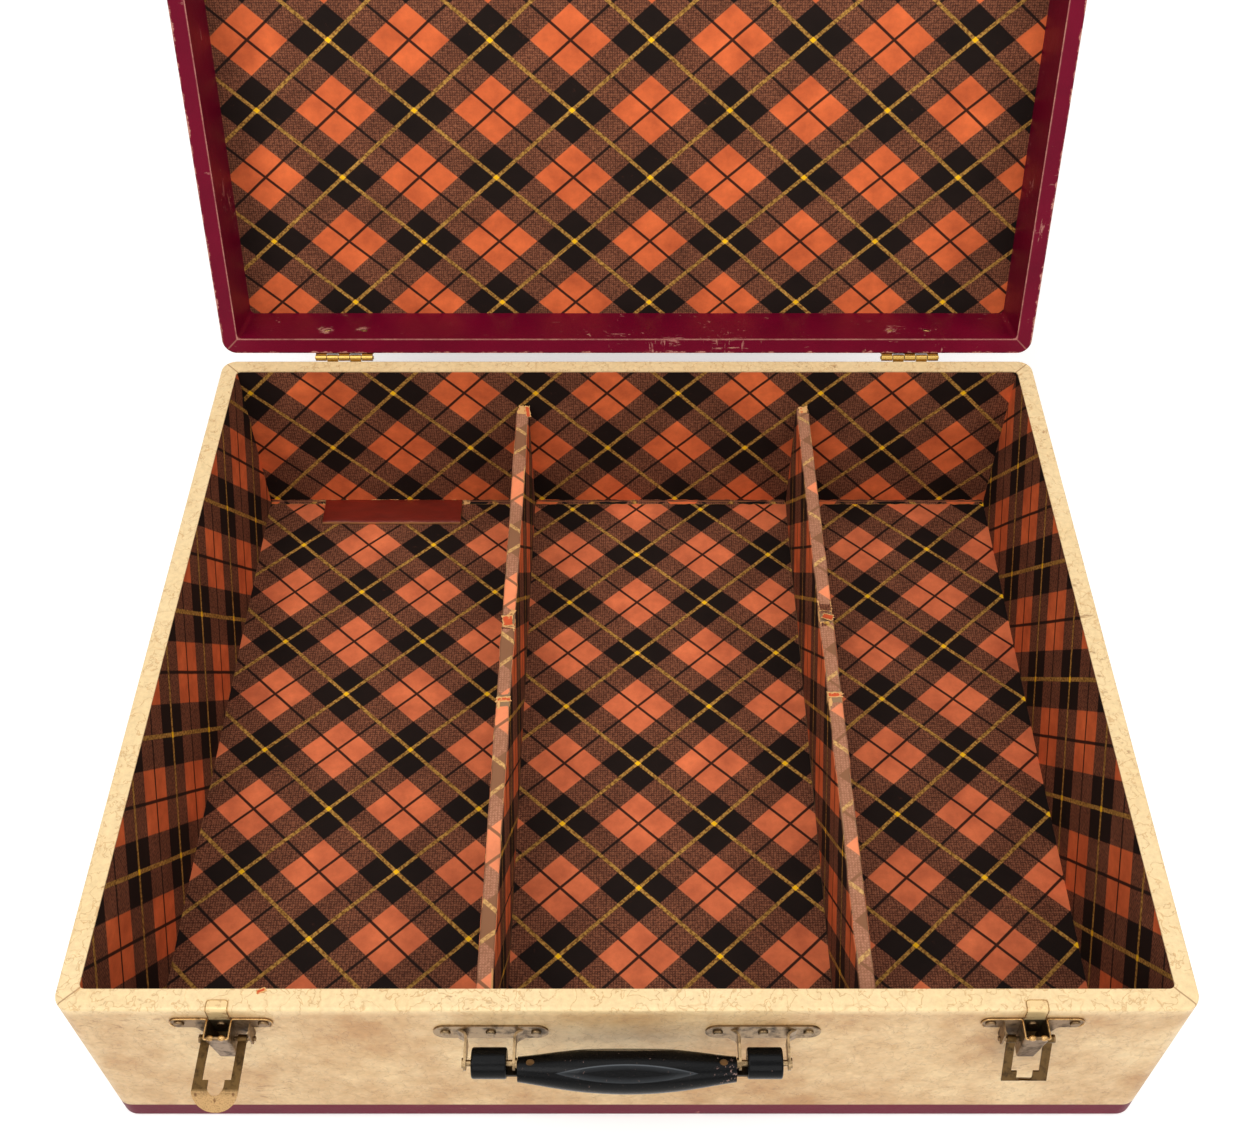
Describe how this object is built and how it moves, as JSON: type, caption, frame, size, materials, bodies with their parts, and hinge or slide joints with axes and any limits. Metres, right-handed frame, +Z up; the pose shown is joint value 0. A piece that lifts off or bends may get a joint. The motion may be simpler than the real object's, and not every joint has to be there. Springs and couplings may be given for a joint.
{
  "type": "carrying case",
  "caption": "Flat board carrying case, open, with a hinged shallow lid, loop catches, a front handle and divided bays lined with tartan paper.",
  "frame": {"origin": "middle of the underside of the base", "axes": "+Z up, +X to the case's right as seen from its handle, +Y from the handle to the hinges"},
  "size_m": [0.5334, 0.6619, 0.5764],
  "materials": {
    "board": "plain softwood board",
    "cream_cloth": "varnished parchment-like cloth, veined and stained",
    "maroon_cloth": "glossy coated cloth, scuffed along its edges",
    "tartan_paper": "matte printed tartan paper",
    "divider_paper": "matte printed tartan paper, torn at the top edge",
    "cleat": "dark red board with raw edges",
    "brass": "tarnished stamped brass",
    "steel": "dull plated steel",
    "black_plastic": "black moulded plastic, polished by use"
  },
  "bodies": {
    "base": {"base_back_board": "board", "base_cover": "cream_cloth", "base_floor_board": "board", "base_front_board": "board", "base_side_board_left": "board", "base_side_board_right": "board", "bottom_band": "maroon_cloth", "bottom_sheet": "maroon_cloth", "bracket_rivets": "brass", "catch_back_plate_left": "brass", "catch_back_plate_right": "brass", "catch_pin_left": "brass", "catch_pin_right": "brass", "catch_rivets": "brass", "catch_socket_left": "brass", "catch_socket_right": "brass", "cleat_strip": "cleat", "divider_board_left": "board", "divider_board_right": "board", "divider_wrap_left": "divider_paper", "divider_wrap_right": "divider_paper", "floor_lining_left": "tartan_paper", "floor_lining_middle": "tartan_paper", "floor_lining_right": "tartan_paper", "handle_bracket_left": "brass", "handle_bracket_right": "brass", "handle_pin_left": "steel", "handle_pin_right": "steel", "hinge_base_leaf_left": "brass", "hinge_base_leaf_right": "brass", "hinge_nails_base": "brass", "hinge_pin_left": "brass", "hinge_pin_right": "brass", "lining_back": "tartan_paper", "lining_front": "tartan_paper", "lining_left": "tartan_paper", "lining_right": "tartan_paper", "pocket_rivets": "brass"},
    "lid": {"hinge_lid_leaf_left": "brass", "hinge_lid_leaf_right": "brass", "hinge_nails_lid": "brass", "keeper_rivets": "brass", "lid_back_board": "board", "lid_cover": "maroon_cloth", "lid_front_board": "board", "lid_keeper_left": "brass", "lid_keeper_right": "brass", "lid_lining": "tartan_paper", "lid_panel": "board", "lid_side_board_left": "board", "lid_side_board_right": "board"},
    "handle": {"handle_core": "steel", "handle_grip": "black_plastic", "handle_sleeve_left": "black_plastic", "handle_sleeve_right": "black_plastic", "grip_screws": "steel"},
    "loop_left": {"catch_loop_left": "brass"},
    "loop_right": {"catch_loop_right": "brass"}
  },
  "joints": [
    {"name": "lid_hinge", "type": "hinge", "parent": "base", "child": "lid", "pos_m": [0, 0.2285, 0.1305], "axis": [1, 0, 0], "range_deg": [0, 106]},
    {"name": "handle_swing", "type": "hinge", "parent": "base", "child": "handle", "pos_m": [0, -0.241, 0.1055], "axis": [1, 0, 0], "range_deg": [-165, 15]},
    {"name": "loop_left_swing", "type": "hinge", "parent": "base", "child": "loop_left", "pos_m": [-0.19, -0.23, 0.1075], "axis": [1, 0, 0], "range_deg": [-90, 80]},
    {"name": "loop_right_swing", "type": "hinge", "parent": "base", "child": "loop_right", "pos_m": [0.19, -0.23, 0.1075], "axis": [1, 0, 0], "range_deg": [-156, 14]}
  ]
}
